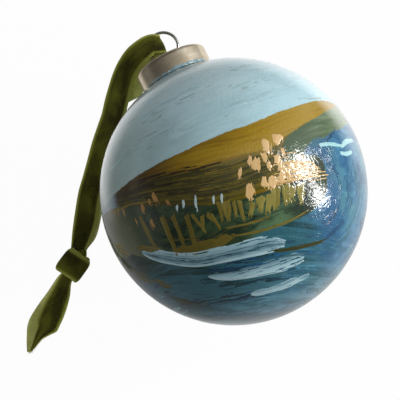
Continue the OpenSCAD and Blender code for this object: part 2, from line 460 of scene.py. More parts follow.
# ---------------------------------------------------------------- the painting: its strokes
SHAPES = {  # how a stroke's width swells over its share s, when it is `long` times as long as it is wide
    "broad": lambda s, long: (np.sqrt(np.clip(s * long * 2.2, 0.15, 1))
                              * np.sqrt(np.clip((1 - s) * long * 1.6, 0.3, 1))),
    "leaf": lambda s, long: np.clip(np.sin(np.pi * np.clip(0.12 + 0.84 * s, 0, 1)), 0.1, 1) ** 0.6,
    "reed": lambda s, long: np.clip(1.05 - 0.5 * s**2, 0.3, 1) * np.sqrt(np.clip(s * long * 3, 0.3, 1)),
}
WOBBLE = {"broad": 1.0, "reed": 1.2, "leaf": 2.6}  # how unsteady a stroke's two sides are


class Brush:
    """Lays strokes of paint on the ball: thin raised films with torn ends, and loose hairs beside them."""

    def __init__(self, name, seed, lift=0.012):
        self.name, self.lift, self.rng = name, lift, np.random.default_rng(seed)
        self.blocks, self.faces, self.marks, self.count = [], [], [], 0

    def walk(self, count, step=0.45):
        """A wandering row of numbers from 0 to 1."""
        w = np.cumsum(self.rng.normal(0, step, count))
        w = w - w.min()
        return w / max(w.max(), 1e-6)

    def line_up(self, path, width, shape):
        """A stroke's line on the ball, its length and greatest width in mm, and its half width anywhere."""
        way = on_ball(*smooth_line(path, 60).T)
        run = distances(way) * R / MM
        side = unit_rows(np.cross(np.gradient(way, axis=0), way))
        widths = np.atleast_1d(np.array(width, float))
        length, most = run[-1], widths.max()

        def half(at):
            s = np.clip(at / length, 0, 1)
            return 0.5 * np.interp(s, np.linspace(0, 1, len(widths)), widths) * SHAPES[shape](s,
                length / most)

        return (run, way, side), length, most, half

    def film(self, line, at, off, high, tint, start):
        """A skin of points, at mm along the line and off mm to its side, high mm above the ball."""
        run, way, side = line
        n, m = at.shape
        along, aside = at.ravel(), off.ravel()
        p = np.stack([np.interp(along, run, way[:, k]) for k in range(3)], 1)
        p += np.stack([np.interp(along, run, side[:, k]) for k in range(3)], 1) * (aside * MM / R)[:, None]
        high = high.copy()
        sink = -max(0.006, 0.5 * high.max())
        high[0], high[-1], high[:, 0], high[:, -1] = sink, sink, sink, sink
        self.blocks.append(CENTRE + unit_rows(p) * (R + high.ravel()[:, None] * MM))
        self.marks.append(np.stack([along + start, aside + start, np.broadcast_to(tint, at.shape).ravel()],
            1))
        q = (self.count + np.arange(n - 1)[:, None] * m + np.arange(m - 1)).ravel()
        self.faces += np.stack([q, q + m, q + m + 1, q + 1], 1).tolist()
        self.count += n * m

    def stroke(self, path, width, tint=0.5, shape="broad", torn=(0.4, 1.6), dry=0.5, dry_side=-1,
            thick=0.022):
        """path is in (lon, lat); width and torn, the ragged reach at each end, are in mm."""
        rng = self.rng
        line, length, most, half = self.line_up(path, width, shape)
        start = rng.uniform(0, 500)
        m, n = max(6, int(most / 0.4)), int(np.clip(length / 0.7, 8, 70))
        u = np.linspace(-1, 1, m + 1)
        first = torn[0] * self.walk(m + 1)
        last = length - torn[1] * self.walk(m + 1, 0.7)
        at = first + (last - first) * np.linspace(0, 1, n + 1)[:, None]
        bins = np.linspace(0, length, max(5, int(length / 1.2)))
        wave = [np.interp(at, bins, rng.normal(0, 0.1, len(bins))) for _ in range(2)]
        off = u * half(at) * (1 + WOBBLE[shape] * np.where(u < 0, wave[0], wave[1]))
        full = thick * (1 - 0.5 * np.abs(u) ** 4) * (0.75 + 0.5 * self.walk(m + 1))
        shade = tint + 0.1 * (self.walk(m + 1) - 0.5)
        shade = shade + 0.02 * np.interp(at, bins, rng.normal(0, 1, len(bins)))
        self.film(line, at, off, self.lift + full * np.ones_like(at), shade, start)
        for _ in range(int(dry * length * most / 1.6)):
            a = rng.uniform(0, length)
            b = min(a + rng.exponential(1.5) + 0.4, length - 0.1 * torn[1])
            if b - a < 0.3:
                continue
            where = dry_side * (0.9 + 0.5 * rng.random() ** 2)
            self.hair(line, a, b, where * half((a + b) / 2), tint + rng.normal(0, 0.05), start)
        for _ in range(int(most * 1.5) if torn[1] > 0.5 else 0):
            a = length - torn[1] * rng.uniform(0.3, 1.1)
            b = min(a + rng.uniform(0.6, 2.2), length)
            self.hair(line, a, b, rng.uniform(-0.95, 0.95) * half(a), tint, start)

    def bristles(self, path, width, tint=0.5, load=0.6, dry_end=1.2, dry_side=0.5, spread=0.25, gap=0.3,
                 thick=0.016):
        """A dragged stroke, bristle by bristle: each leaves paint while it has some, so the stroke breaks up
        towards its end and along one edge. load is how full it starts; spread is how far the tints differ."""
        rng = self.rng
        line, length, most, half_at = self.line_up(path, width, "broad")
        at = np.linspace(0, length, max(8, int(length / 0.5)))
        s, half = at / length, half_at(at)
        count = max(4, int(most / gap))
        u = np.linspace(-1, 1, count)
        waves = [(rng.uniform(0.15, 1.1), rng.uniform(-0.12, 0.12), rng.uniform(0, 6.3)) for _ in range(9)]
        paint = sum(np.cos(2 * math.pi * (f * u[:, None] * most / 2 + g * at) + h) for f, g, h in waves) / 5
        paint = paint + rng.normal(0, 0.22, (count, 1)) + load
        paint = paint - dry_end * np.clip((s - 0.55) / 0.45, 0, 1) ** 1.6
        paint = paint - dry_side * np.clip(-u, 0, 1)[:, None] ** 2.5
        tone = tint + spread * (self.walk(count, 0.7) - 0.5)
        start = rng.uniform(0, 500)
        wide = most / count * 0.62
        for j in range(count):
            on = np.concatenate([[0], paint[j] > 0, [0]]).astype(int)
            edges = np.flatnonzero(np.diff(on))
            for a, b in zip(edges[::2], edges[1::2]):
                if b - a < 3:
                    continue
                rows = at[a:b, None] * np.ones(4)
                rows[0] += rng.uniform(-0.2, 0.2)
                section = np.array([-1, -0.6, 0.6, 1]) * min(wide, half[a:b].mean())
                high = np.full_like(rows, self.lift + thick * rng.uniform(0.5, 1))
                self.film(line, rows, (u[j] * half[a:b])[:, None] + section, high,
                          tone[j] + 0.03 * rng.normal(), start)

    def hair(self, line, a, b, off, tint, start):
        at = np.linspace(a, b, max(4, int((b - a) / 0.5)))[:, None] * np.ones(3)
        section = np.array([-1.0, 0, 1.0]) * self.rng.uniform(0.08, 0.24) * np.ones_like(at)
        self.film(line, at, off + section, np.full_like(at, 0.03), tint, start)

    def dab(self, lon, lat, wide, tall, tint, lean=0.0, **more):
        """A short upright touch of the brush."""
        half = math.degrees(tall / 2 / (R / MM))
        skew = lean * wide_at(lat)
        dry_side = 1 if self.rng.random() < 0.5 else -1
        self.stroke([(lon - skew, lat + half), (lon + skew * 0.2, lat), (lon + skew, lat - half)],
                    wide, tint, "leaf", (tall * 0.18, tall * 0.34), 0.3, dry_side, **more)

    def finish(self, material):
        marks = zip(("along", "across", "tint"), np.vstack(self.marks).T)
        piece = mesh_piece(self.name, np.vstack(self.blocks), self.faces, [material], marks=marks)
        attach(piece, "ball")


def pigment(name, stops, contrast=0.5):
    """Varnished paint coloured along stops of (tint, colour), with the hair lines of its own stroke."""
    n = Nodes(name)
    along, across, tint = n.marks("along", "across", "tint")
    lon, _, unit = lon_lat(n)
    hairs = n.noise(n.combine(along * 0.12, across * 1.2), 1.0, 6, 0.7, 0.5)
    tint = tint + (hairs - 0.5) * contrast + (n.noise(unit, 9, 3, 0.6) - 0.5) * (contrast * 0.7)
    return varnished(n, n.ramp(tint, stops), lon, unit, hairs, hairs)


def sky_brushwork():
    """A few hair lines of darker and paler paint over the sky."""
    brush = Brush("sky_brushwork", 61, 0.004)
    rng = brush.rng
    for _ in range(90):
        lon, lat = rng.uniform(-180, 180), 16 + 52 * rng.random() ** 1.4
        reach = rng.uniform(2, 9) * wide_at(lat)
        lift = rng.uniform(-0.8, 0.8)
        brush.stroke([(lon, lat), (lon + reach / 2, lat + lift), (lon + reach, lat + 2 * lift)],
            rng.uniform(0.15, 0.36), rng.choice([0.42, 0.6, 0.8]), torn=(0.8, 1.2), dry=0.6, thick=0.006)
    for _ in range(26):
        lon, lat = rng.uniform(-50, 10), rng.uniform(18, 44)
        brush.stroke([(lon, lat), (lon + rng.uniform(2, 4), lat + rng.uniform(-0.3, 0.6))],
            rng.uniform(0.12, 0.26), rng.uniform(0.0, 0.3), torn=(0.4, 0.8), dry=0.4, thick=0.008)
    for _ in range(44):
        lon, lat = rng.uniform(-180, 180), rng.uniform(16, 50)
        reach = rng.uniform(16, 40) * wide_at(lat)
        brush.bristles([(lon, lat), (lon + reach / 2, lat + rng.uniform(-1, 1)), (lon + reach, lat)],
            rng.uniform(2, 5), rng.choice([0.68, 0.74, 0.8]), load=-0.1, dry_end=0.5, spread=0.16, gap=0.34,
            thick=0.006)
    brush.finish(pigment("sky_pigment", [(0.0, srgb(104, 130, 140)), (0.3, srgb(138, 166, 174)),
        (0.55, SKY_GREY), (0.76, SKY_DARK), (1.0, SKY)], 0.25))


def down_hill(lon, share):
    """The lat at a share of the way down the hill."""
    return line_at(HILL_TOP, lon) * (1 - share) + line_at(HILL_FOOT, lon) * share


def hill_brushwork():
    """Loose olive and umber hair strokes over the hill, fanned like the furrows under them."""
    brush = Brush("hill_brushwork", 11)
    rng = brush.rng
    for _ in range(40):
        fan = rng.uniform(0.38, 0.95)
        start = rng.uniform(-52, 2)
        lons = np.linspace(start, min(start + rng.uniform(20, 44), 27), 6)
        path = []
        for lon in lons:
            depth = min((fan + 0.0062 * lon) / (1 + 0.0062 * lon), 0.97)
            path.append((lon, down_hill(lon, depth)))
        dark = 0.25 if start < -30 else 0.0
        brush.bristles(path, rng.uniform(1.2, 3.0), rng.choice([0.22, 0.38, 0.5, 0.66]) - dark, load=0.3,
            dry_end=0.9, dry_side=0.2, spread=0.4, gap=0.24, thick=0.006)
    brush.stroke([(-61, 10.5), (-50, 7.5), (-42, 6), (-30, 1.5)], 0.5, 0.78, torn=(1, 2), thick=0.01)
    for first, last, gap, share in ((-170, -75, 13, 0.55), (90, 160, 12, 0.5)):
        for at in range(first, last, gap):
            path = [(lon, down_hill(lon, share) + rng.uniform(-2, 2)) for lon in (at, at + 8, at + 18)]
            brush.stroke(path, rng.uniform(0.6, 2), rng.choice([0.2, 0.5, 0.8]), torn=(1.5, 3), thick=0.012)
    brush.finish(pigment("hill_pigment", [(0.0, UMBER), (0.35, OLIVE_DARK), (0.6, OLIVE), (1.0, OCHRE)],
        0.35))


def reeds():
    """Slanted olive strokes that stand in the marsh, over a low bank of the same olive."""
    brush = Brush("marsh_reeds", 23, 0.02)
    rng = brush.rng

    def reed(lon, top, lean, tall, width, tint, torn, dry):
        brush.stroke([(lon, top), (lon - lean, top - tall)], width, tint, "reed", (0.8, torn), dry)

    for path, width, tint, torn, dry in (
            ([(-36, -19), (-27, -22), (-17, -24.5), (-7, -25)],
             (2.0, 3.4, 4.6, 3.6, 2.0), 0.42, (1, 2.5), 0.2),
            ([(-52, -9), (-46, -13), (-39, -16)], (2.0, 2.6, 1.6), 0.36, (1, 2), 0.2),
            ([(-9, -25), (2, -28), (14, -29.5), (28, -28.5)], 0.7, 0.5, (1, 3), 0.8),
            ([(-10, -21), (0, -23.5), (10, -25)], 0.8, 0.45, (1, 3), 0.8),
            ([(-36, -13), (-28, -17), (-20, -19.5)], 0.4, 0.3, (1, 2), 0.6)):
        brush.stroke(path, width, tint, torn=torn, dry=dry)
    brush.bristles([(-69, -1), (-65, -6), (-60, -9)], (3, 5, 3.5), 0.5, load=0.7)
    brush.bristles([(-58, -24), (-55, -28), (-51, -31)], (2, 4, 3), 0.2, load=0.6)
    brush.bristles([(-62, -34), (-55, -41), (-47, -46)], (2, 4.5, 3), -0.1, load=0.3)
    brush.stroke([(2, -37.5), (18, -42), (38, -44)], (1.0, 1.8, 1.2), -0.12, torn=(2, 3), dry=0.6)
    for lon, lean in ((-40, -2), (-31, -4.5), (-26, -5), (-21, -7)):
        lon += rng.uniform(-0.8, 0.8)
        top = line_at(HILL_FOOT, lon) - rng.uniform(2.5, 4)
        foot = line_at(WATER_TOP, lon) + rng.uniform(1, 3)
        brush.stroke([(lon, top), (lon + lean * 0.4, top * 0.45 + foot * 0.55), (lon + lean, foot)],
            rng.uniform(1.7, 2.4), 0.42, "reed", (0.8, 0.8), 0.1)
    for lon, lean, tall in ((-19, 1.5, 10), (-15, -3.5, 7), (-13.5, 2, 5), (-12, 0.5, 8)):
        reed(lon, line_at(HILL_FOOT, lon) - 3.5, -lean, tall, rng.uniform(1.3, 2.1), 0.5, 1.2, 0.15)
    for lon in np.arange(-7, 2, 1.9):
        top = line_at(HILL_FOOT, lon) + rng.uniform(0, 1.5)
        lean, tall = rng.uniform(2, 4.5), rng.uniform(7, 10)
        reed(lon, top, lean, tall, rng.uniform(1.4, 2.2), rng.uniform(0.48, 0.62), 1.6, 0.3)
    for lon in np.arange(6, 29, 2.2):
        lon += rng.uniform(-0.8, 0.8)
        top = line_at(HILL_FOOT, lon) - rng.uniform(0.5, 2) if lon < 22 else -16.5
        lean, tall = rng.uniform(1, 5), rng.uniform(6, 9.5)
        reed(lon, top, lean, tall, rng.uniform(1.7, 2.7), rng.uniform(0.6, 0.8), 1.8, 0.3)
    for lon in list(range(97, 178, 5)) + list(range(-178, -84, 6)):
        lon += rng.uniform(-2, 2)
        top = line_at(HILL_FOOT, lon) - rng.uniform(0, 3)
        lean, tall = rng.uniform(0, 4), rng.uniform(5, 9)
        reed(lon, top, lean, tall, rng.uniform(1.3, 2.4), rng.uniform(0.4, 0.7), 1.4, 0.25)
    brush.bristles([(-68, -14), (-64, -20), (-58, -25)], (3, 5, 3), 0.15, load=0.5)
    brush.finish(pigment("reed_pigment", [(0.0, srgb(56, 58, 26)), (0.45, srgb(104, 92, 32)),
        (0.8, srgb(140, 132, 66)), (1.0, srgb(160, 152, 88))], 0.35))


def flowers():
    """Peach touches, thickest on the right of the hill, with a few along the marsh's left."""
    brush = Brush("peach_touches", 5, 0.03)
    rng = brush.rng
    for lon, lat, wide, tall in ((5, -5, 1.7, 4.2), (6, -12.5, 3.2, 6.2), (13, -4, 3.0, 5.4),
            (17, -2, 2.2, 4.6), (20, 0, 3.2, 6.2), (20.5, -5, 2.4, 4.2), (26, 1.5, 3.4, 3.8),
            (22, -8, 1.8, 4), (12.4, -12, 2.3, 5.0), (16.2, -12.6, 3.1, 5.4), (20.0, -12.5, 2.2, 5.2),
            (24.5, -4, 2.2, 3.6), (10.6, -2, 2.0, 4.4), (17.5, -7, 1.8, 4.6), (23.5, -12, 1.8, 4.2)):
        brush.dab(lon + rng.uniform(-0.7, 0.7), lat + rng.uniform(-0.7, 0.7), wide, tall * 1.05,
            rng.uniform(0.7, 0.85), rng.uniform(-1.6, -0.2))
    for k in range(7):
        lon = rng.uniform(20, 28)
        drop = -6.5 - 1.5 * k
        brush.bristles([(lon - rng.uniform(0, 5), drop + 2), (lon + 4, drop),
            (34.5 + 1.3 * k + rng.uniform(-1.5, 0.5), drop - 2.5)], rng.uniform(1.6, 2.6),
            rng.uniform(0.6, 0.85), load=0.12, dry_end=0.6, spread=0.4)
    for lon in np.arange(22, 39, 3.4):
        brush.dab(lon, -9.8 - 0.38 * (lon - 23) + rng.uniform(-1.6, 1.6), rng.uniform(1.4, 2.4),
            rng.uniform(2.6, 4.6), rng.uniform(0.6, 0.85), rng.uniform(-1.5, 1.5))
    for lon, lat, wide, tall in ((-49, 5.5, 1.2, 3.8), (-53, 7, 0.8, 3), (-56, 7.5, 0.8, 2.6),
            (-37.5, 2, 1.5, 4.2), (-33, 2.5, 1.1, 3.4), (-30, 2.5, 2.0, 5.4), (-25.5, -1.5, 1.2, 3.4),
            (-36.5, -5.5, 1.9, 4.4), (-44, -1, 0.9, 3.6)):
        brush.dab(lon, lat, wide, tall, rng.uniform(0.12, 0.34), rng.uniform(-0.6, 0.4))
    for lon in (100, 108, 121, 140, 152, -172, -160, -141, -120, -104):
        brush.dab(lon, line_at(HILL_FOOT, lon) + rng.uniform(-3, 4), rng.uniform(1.5, 2.8),
            rng.uniform(3.5, 5), 0.6, rng.uniform(-1, 1))
    brush.finish(pigment("peach_pigment", [(0.0, srgb(126, 92, 40)), (0.35, srgb(160, 122, 64)),
        (0.7, srgb(204, 166, 108)), (1.0, srgb(222, 190, 140))], 0.35))


def pale_grasses():
    """Pale leaning touches along the marsh's top edge."""
    brush = Brush("pale_touches", 8, 0.03)
    rng = brush.rng
    for lon, lat, tall in ((-23, -5.2, 2.4), (-19.8, -5, 3), (-15, -7, 6.4), (-8.2, -9, 3), (-5.2, -10.4, 4),
            (118, -4, 4), (126, -5, 5), (133, -6, 3), (-150, -2, 4), (-133, -1, 3)):
        brush.dab(lon, lat, rng.uniform(0.9, 1.2), tall, rng.uniform(0.5, 0.8),
            -0.26 * tall + rng.uniform(-0.2, 0.2), thick=0.03)
    brush.finish(pigment("pale_pigment", [(0.0, srgb(140, 162, 164)), (1.0, srgb(186, 206, 206))], 0.3))


def foam():
    """Three broad, dry strokes of pale blue on the water in front, and six smaller ones behind."""
    brush = Brush("foam_strokes", 31, 0.03)
    for path, width, tint, load, dry_end, dry_side, spread in (
            ([(-51, -12), (-41, -19), (-30, -25.9), (-18, -29.6), (-5, -32.6), (6, -35.2), (12, -37.5)],
             (2.8, 5.0, 5.4, 5.8, 6.4, 7.0, 6.0), 0.5, 0.95, 0.7, 0.9, 0.5),
            ([(-30, -35), (-20, -40), (-7, -43.5), (7, -46), (21, -47.5)],
             (2.6, 3.8, 5.0, 6.2, 5.6), 0.5, 0.7, 0.6, 0.9, 0.5),
            ([(-20, -53), (-8, -56), (6, -57.5), (25, -57.5)],
             (2.6, 3.4, 4.2, 3.0), 0.55, 0.8, 1.1, 0.7, 0.45)):
        brush.bristles(path, width, tint, load, dry_end, dry_side, spread)
    rng = brush.rng
    for lon in (86, 118, 150, -172, -140, -108):
        lat = rng.uniform(-52, -26)
        brush.bristles([(lon, lat), (lon + 12, lat - 3), (lon + 26, lat - 4)], (2, rng.uniform(3, 5), 3),
            0.5, 0.9, 1.3, 0.7, 0.5)
    brush.finish(pigment("foam_pigment", [(0.14, TEAL_DARK), (0.24, srgb(78, 112, 126)),
        (0.34, srgb(112, 146, 158)), (0.58, srgb(148, 182, 192)), (1.0, srgb(184, 210, 214))], 0.5))


def aqua_glints():
    """Three short strokes of aqua on the water at the right."""
    brush = Brush("aqua_glints", 3, 0.03)
    for path, width, tint, torn in (
            ([(42, -5.6), (48, -6.2), (57, -8.2)], (1.6, 1.6, 1.0), 0.5, (0.2, 0.6)),
            ([(55, -8.6), (62, -6.6), (70, -6)], (1.4, 2.0, 1.2), 0.6, (0.4, 0.6)),
            ([(53, -10.6), (58, -11.6), (64, -11)], (1.6, 1.7, 1.2), 0.5, (0.3, 0.6))):
        brush.stroke(path, width, tint, torn=torn, dry=0.1)
    brush.finish(pigment("aqua_pigment", [(0.0, srgb(128, 176, 184)), (1.0, srgb(174, 212, 212))], 0.3))


def water_brushwork():
    """Low blue strokes that sweep round the marsh's right end, slope down under it and go on behind."""
    brush = Brush("water_brushwork", 47, 0.006)
    rng = brush.rng
    thin = dict(load=0.1, dry_end=0.7, spread=0.2, thick=0.008)
    behind = dict(thin, load=0.15, spread=0.25)
    for _ in range(22):
        reach = rng.uniform(0.05, 1)
        a, sweep = rng.uniform(-60, 40), rng.uniform(25, 60)
        angles = np.radians(np.linspace(a, a - sweep, 5))
        path = [(34 + (11 + 30 * reach) * math.cos(t), -22 + (12 + 18 * reach) * math.sin(t)) for t in angles]
        if max(lat for _, lat in path) < -6:
            tone = rng.uniform(0.2, 0.4) if reach < 0.5 else rng.uniform(0.4, 0.72)
            brush.bristles(path, rng.uniform(2, 4.5), tone, **thin)
    for k in range(5):
        path = [(33.5 + 1.3 * k, -6.6 + 0.5 * k), (38.5 + 1.2 * k, -7.6 + 0.9 * k),
                (43 + 1.1 * k, -12 + 1.5 * k), (45 + 1.2 * k, -18 + k)]
        brush.bristles(path, 2.4, 0.36 + 0.04 * k, load=0.7, spread=0.25)
    brush.bristles([(37, -7.4), (46, -4.6), (58, -1.4)], 1.4, 0.28, load=0.35, dry_end=0.8)
    for _ in range(58):
        lon, lat = rng.uniform(-66, 40), rng.uniform(-78, -30)
        reach = rng.uniform(8, 20)
        fall = reach * 0.42
        wide = reach * wide_at(lat)
        path = [(lon, lat), (lon + wide / 2, lat - fall / 2), (lon + wide, lat - fall)]
        if lat > line_at(WATER_TOP, lon) - 3 or lat - fall < -84:
            continue
        tone = rng.uniform(0.0, 0.3) if lon < -5 and lat > -52 else rng.uniform(0.42, 0.68)
        brush.bristles(path, rng.uniform(1.6, 4.0), tone, **thin)
    for _ in range(60):
        lon, lat = rng.uniform(66, 284), rng.uniform(-72, -22)
        lon = lon - 360 if lon > 180 else lon
        path = [(lon, lat), (lon + 9, lat - 2), (lon + 20, lat - 3)]
        brush.bristles(path, rng.uniform(1.6, 4.5), rng.uniform(0.1, 0.8), **behind)
    brush.finish(pigment("water_pigment", [(0.0, TEAL_DARK), (0.2, NAVY_GREY), (0.34, BLUE_DARK),
        (0.55, TEAL), (0.7, BLUE), (0.86, SEA_GREEN), (1.0, BLUE_PALE)], 0.4))


# ---------------------------------------------------------------- the ribbon
RIBBON_WIDE, RIBBON_THICK = 10.0, 0.8
COLUMNS = 17  # points across each side of its section
THREAD_R = 0.07  # mm, of the loose threads at its cut ends
SELVEDGE = 0.955  # share of its half width where the selvedge begins
PILE, BACK, EDGE = 0, 1, 2  # its materials

# Stations down the middle of the ribbon, as x, y, z in mm, the bearing of its run in degrees,
# and how much of its 10 mm width shows: it is gathered at the knot and in the wire eye
UPPER_RUN = [
    (-70.4, -50.0, -45.8, 46, 0.55), (-67.4, -46.2, -46.6, 48, 0.72), (-64.4, -42.2, -47.6, 52, 0.90),
    (-61.2, -37.8, -48.0, 54, 1), (-57.8, -32.6, -48.0, 53, 1), (-54.6, -28.4, -47.0, 50, 1),
    (-50.8, -24.8, -45.0, 48, 1), (-46.2, -20.8, -41.0, 46, 1), (-40.6, -16.2, -35.0, 43, 1),
    (-35.4, -12.8, -29.0, 41, 1), (-31.2, -10.3, -23.6, 40, 1), (-27.3, -7.5, -17.6, 40, 1),
    (-23.5, -4.9, -11.8, 40, 0.96), (-19.9, -2.5, -6.8, 38, 0.92), (-15.9, -0.3, -2.4, 29, 0.90),
    (-11.3, 1.4, 0.8, 17, 0.90), (-6.3, 2.4, 2.0, 6, 0.86), (-3.6, 2.7, 1.8, 0, 0.80),
    (-1.8, 1.9, 1.75, -3, 0.76)]
FOLD = [(-1.3 + 1.7 * math.sin(math.radians(a)), 1.1, 1.7 * math.cos(math.radians(a)), 0, 0.72)
        for a in (30, 60, 90, 120, 150)]
LOWER_RUN = [
    (-1.6, 0.8, -1.7, 0, 0.70), (-5.0, 1.0, -2.2, 4, 0.72), (-9.4, 0.0, -4.6, 10, 0.80),
    (-13.4, -2.6, -8.0, 22, 0.90), (-17.4, -5.2, -12.6, 30, 0.88), (-23.0, -5.6, -17.4, 34, 0.64),
    (-27.5, -6.7, -22.0, 38, 0.60), (-30.8, -9.9, -26.6, 40, 0.72), (-34.8, -12.9, -32.2, 41, 0.88),
    (-39.8, -16.6, -38.2, 43, 1), (-45.4, -21.0, -43.8, 46, 1), (-50.8, -25.6, -47.2, 48, 1),
    (-54.7, -30.4, -48.9, 51, 1), (-59.7, -37.7, -49.4, 54, 1), (-63.4, -42.7, -49.3, 52, 0.92),
    (-67.4, -46.2, -48.6, 48, 0.72), (-70.4, -50.0, -47.6, 46, 0.55)]
TAIL_UPPER = [
    (-76.2, -55.6, -45.4, 44, 0.50), (-79.4, -57.6, -46.4, 44, 0.60), (-83.5, -61.5, -47.6, 44, 0.84),
    (-88.6, -66.0, -48.1, 44, 1), (-93.1, -69.9, -48.2, 44, 1), (-94.3, -70.8, -48.2, 44, 0.95),
    (-96.0, -71.8, -48.2, 44, 0.68), (-98.6, -73.1, -48.2, 44, 0.42), (-102.0, -75.5, -48.4, 44, 0.20),
    (-104.4, -77.2, -48.6, 44, 0.10)]
TAIL_LOWER = [
    (-76.2, -55.6, -47.4, 44, 0.50), (-80.2, -56.8, -48.4, 44, 0.60), (-86.3, -61.6, -49.3, 44, 0.85),
    (-92.1, -65.6, -49.5, 44, 1), (-97.6, -69.2, -49.5, 44, 0.95), (-101.4, -72.8, -49.5, 44, 0.65),
    (-104.2, -75.6, -49.5, 44, 0.35), (-105.8, -77.2, -49.5, 44, 0.14)]
INNER_FOLD = [
    (-70.2, -54.8, -44.6, 60, 0.30), (-68.6, -52.6, -43.4, 60, 0.36), (-67.4, -50.6, -43.6, 62, 0.36),
    (-66.9, -49.3, -45.0, 66, 0.30), (-67.6, -49.6, -46.6, 66, 0.25)]
KNOT_AT = np.array([-73.3, -53.0, -45.8])
KNOT_TURN = 28.5  # bearing of the axis that the knot's outer turn wraps round


class Ribbon:
    """One ribbon mesh: pile on its outer side, a woven back, and a rounded selvedge along both edges."""

    def __init__(self, seed):
        self.rng = np.random.default_rng(seed)
        self.points, self.faces, self.kinds, self.marks, self.count, self.length = [], [], [], [], 0, 0.0

    def strip(self, middle, across, half, cup):
        """middle and across are rows of points and width directions. cup(u, s) lifts the section, in mm, at u
        across it and at the share s of its run."""
        ahead = unit_rows(np.gradient(middle, axis=0))
        across = unit_rows(across - ahead * np.sum(across * ahead, axis=1)[:, None])
        out = np.cross(ahead, across)
        run = distances(middle)
        u = np.sin(np.linspace(-1, 1, COLUMNS) * math.pi / 2 * 0.96) / math.sin(math.pi / 2 * 0.96)
        body = RIBBON_THICK / 2 * np.sqrt(np.clip(1 - np.abs(u) ** 9, 0.0, 1))
        body = body * (0.86 + 0.14 * np.clip(8 * np.abs(u) - 7, 0, 1))
        ring_u = np.concatenate([u, u[-2:0:-1]])
        ring_h = np.concatenate([body, -body[-2:0:-1]])
        m, n = len(ring_u), len(middle)
        lift = np.stack([cup(ring_u, r) for r in run / run[-1]]) + ring_h
        fluff = self.rng.normal(0, 0.012, (n, m))
        p = (middle[:, None] + across[:, None] * (ring_u[None, :, None] * half[:, None, None])
             + out[:, None] * (lift + fluff)[:, :, None])
        self.points.append(p.reshape(-1, 3))
        across_mm = np.tile(ring_u * RIBBON_WIDE / 2, n)
        self.marks.append(np.stack([np.repeat(run + self.length, m), across_mm], 1))
        for i in range(n - 1):
            for k in range(m):
                a, b = self.count + i * m + k, self.count + i * m + (k + 1) % m
                self.faces.append((a, a + m, b + m, b))
                edge = min(abs(ring_u[k]), abs(ring_u[(k + 1) % m])) > SELVEDGE
                self.kinds.append(EDGE if edge else PILE if k < COLUMNS - 1 else BACK)
        last = self.count + (n - 1) * m
        self.faces += [tuple(range(self.count, self.count + m)), tuple(range(last + m - 1, last - 1, -1))]
        self.kinds += [EDGE, EDGE]
        self.count += n * m
        self.length += run[-1]
        return middle, across, half

    def along(self, stations, cup, turned=False):
        """A strip down a list of stations; turned puts the pile on its other side."""
        table = np.array(stations, float)
        fine = smooth_line(table, int(distances(table[:, :3])[-1] / 0.5))
        bearing = np.radians(fine[:, 3])
        across = np.stack([-np.sin(bearing), np.cos(bearing), np.zeros(len(fine))], 1) * (-1 if turned else 1)
        return self.strip(fine[:, :3], across, fine[:, 4] * RIBBON_WIDE / 2, cup)

    def thread(self, start, way, length):
        """A loose thread at a cut end, bending as it goes."""
        bend = self.rng.normal(0, 0.35, 3)
        t = np.linspace(0, 1, 6)[:, None]
        middle = start + way * t * length + bend * t**2 * length
        ahead = unit_rows(np.gradient(middle, axis=0))
        one = unit_rows(np.cross(ahead, np.array([0.3, 0.2, 1.0])))
        two = np.cross(ahead, one)
        turn = np.radians([0, 120, 240])
        round_it = np.cos(turn)[None, :, None] * one[:, None] + np.sin(turn)[None, :, None] * two[:, None]
        p = middle[:, None] + THREAD_R * (1.1 - t)[:, None] * round_it
        self.points.append(p.reshape(-1, 3))
        self.marks.append(np.tile([0.0, RIBBON_WIDE / 2], (18, 1)))
        for i in range(5):
            for k in range(3):
                a, b = self.count + i * 3 + k, self.count + i * 3 + (k + 1) % 3
                self.faces.append((a, b, b + 3, a + 3))
                self.kinds.append(EDGE)
        a = self.count
        self.faces += [(a + 2, a + 1, a), (a + 15, a + 16, a + 17)]
        self.kinds += [EDGE, EDGE]
        self.count += 18


def crease(start, end, depth, waves, phase):
    """Lengthwise folds that fade in between two shares of the run."""
    def lift(u, s):
        grow = np.clip((s - start) / (end - start), 0, 1)
        return depth * grow**1.5 * np.cos(waves * math.pi * u + phase)
    return lift


